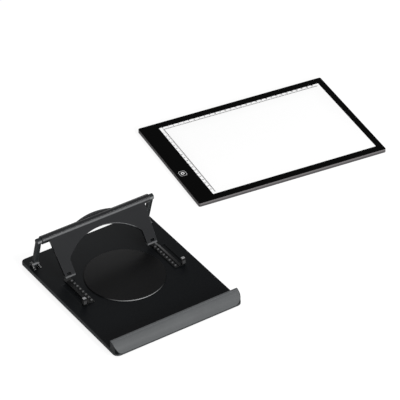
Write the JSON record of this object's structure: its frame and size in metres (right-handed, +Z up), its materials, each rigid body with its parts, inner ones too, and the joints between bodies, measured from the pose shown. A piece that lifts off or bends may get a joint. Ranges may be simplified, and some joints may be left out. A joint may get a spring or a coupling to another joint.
{
  "type": "tracing light pad with swivel stand",
  "caption": "Thin A4 tracing light pad with a lit window and touch key, beside its folding stand: lipped base plate on a turntable, toothed racks and an arched support panel on hinged links.",
  "frame": {"origin": "on the table, on the stand's swivel axis, at the underside of the anti-slip sheet", "axes": "+X to the right along the stand's front lip, +Y towards its rear hinge, +Z up"},
  "size_m": [0.7114, 0.4932, 0.0782],
  "materials": {
    "black_plastic": "fine moulded grain",
    "panel_plastic": "fine moulded grain, satin",
    "grey_trim": "satin, silver grey",
    "rubber": "matt",
    "glide": "low-friction film",
    "steel": "zinc plated",
    "acrylic": "clear, lit from behind, with a printed border",
    "tray_plastic": "satin grey",
    "black_film": "printed film",
    "white_film": "white film",
    "clear_guide": "clear acrylic plate",
    "circuit_board": "coated board",
    "lamp_yellow": "lamp bodies"
  },
  "bodies": {
    "turntable": {"turntable_foot": "black_plastic", "anti_slip_sheet": "rubber", "glide_ring": "glide", "hub_retainer": "steel", "retainer_screws": "steel"},
    "base": {"base_plate": "black_plastic", "lip_trim": "grey_trim", "turntable_cover": "black_plastic", "rack_left": "black_plastic", "rack_right": "black_plastic", "rack_screws": "steel", "hinge_bracket_left": "black_plastic", "hinge_bracket_right": "black_plastic", "bracket_screws": "steel", "lower_hinge_pins": "steel"},
    "links": {"link_left": "black_plastic", "link_right": "black_plastic", "upper_hinge_pins": "steel"},
    "panel": {"support_panel": "panel_plastic"},
    "light_pad": {"back_tray": "tray_plastic", "top_sheet": "acrylic", "border_mask": "black_film", "diffuser_sheet": "white_film", "light_guide": "clear_guide", "reflector_sheet": "white_film", "lamp_board": "circuit_board", "lamps": "lamp_yellow", "control_board": "circuit_board", "board_parts": "black_plastic", "touch_sensor": "steel", "power_socket": "steel", "pad_feet": "rubber"}
  },
  "joints": [
    {"name": "base_swivel", "type": "hinge", "parent": "turntable", "child": "base", "pos_m": [0, 0, 0], "axis": [0, 0, 1], "continuous": true},
    {"name": "link_fold", "type": "hinge", "parent": "base", "child": "links", "pos_m": [0, 0.103, 0.014], "axis": [1, 0, 0], "range_deg": [0, 68.46]},
    {"name": "panel_fold", "type": "hinge", "parent": "links", "child": "panel", "pos_m": [0, 0.08777, 0.06893], "axis": [1, 0, 0], "range_deg": [-114.4, 0]},
    {"name": "pad_lift", "type": "slide", "parent": "turntable", "child": "light_pad", "axis": [0, 0, 1], "range_m": [0, 0.12]}
  ],
  "couplings": [
    {"joint": "panel_fold", "follows": "link_fold", "ratio": -1.6697}
  ]
}
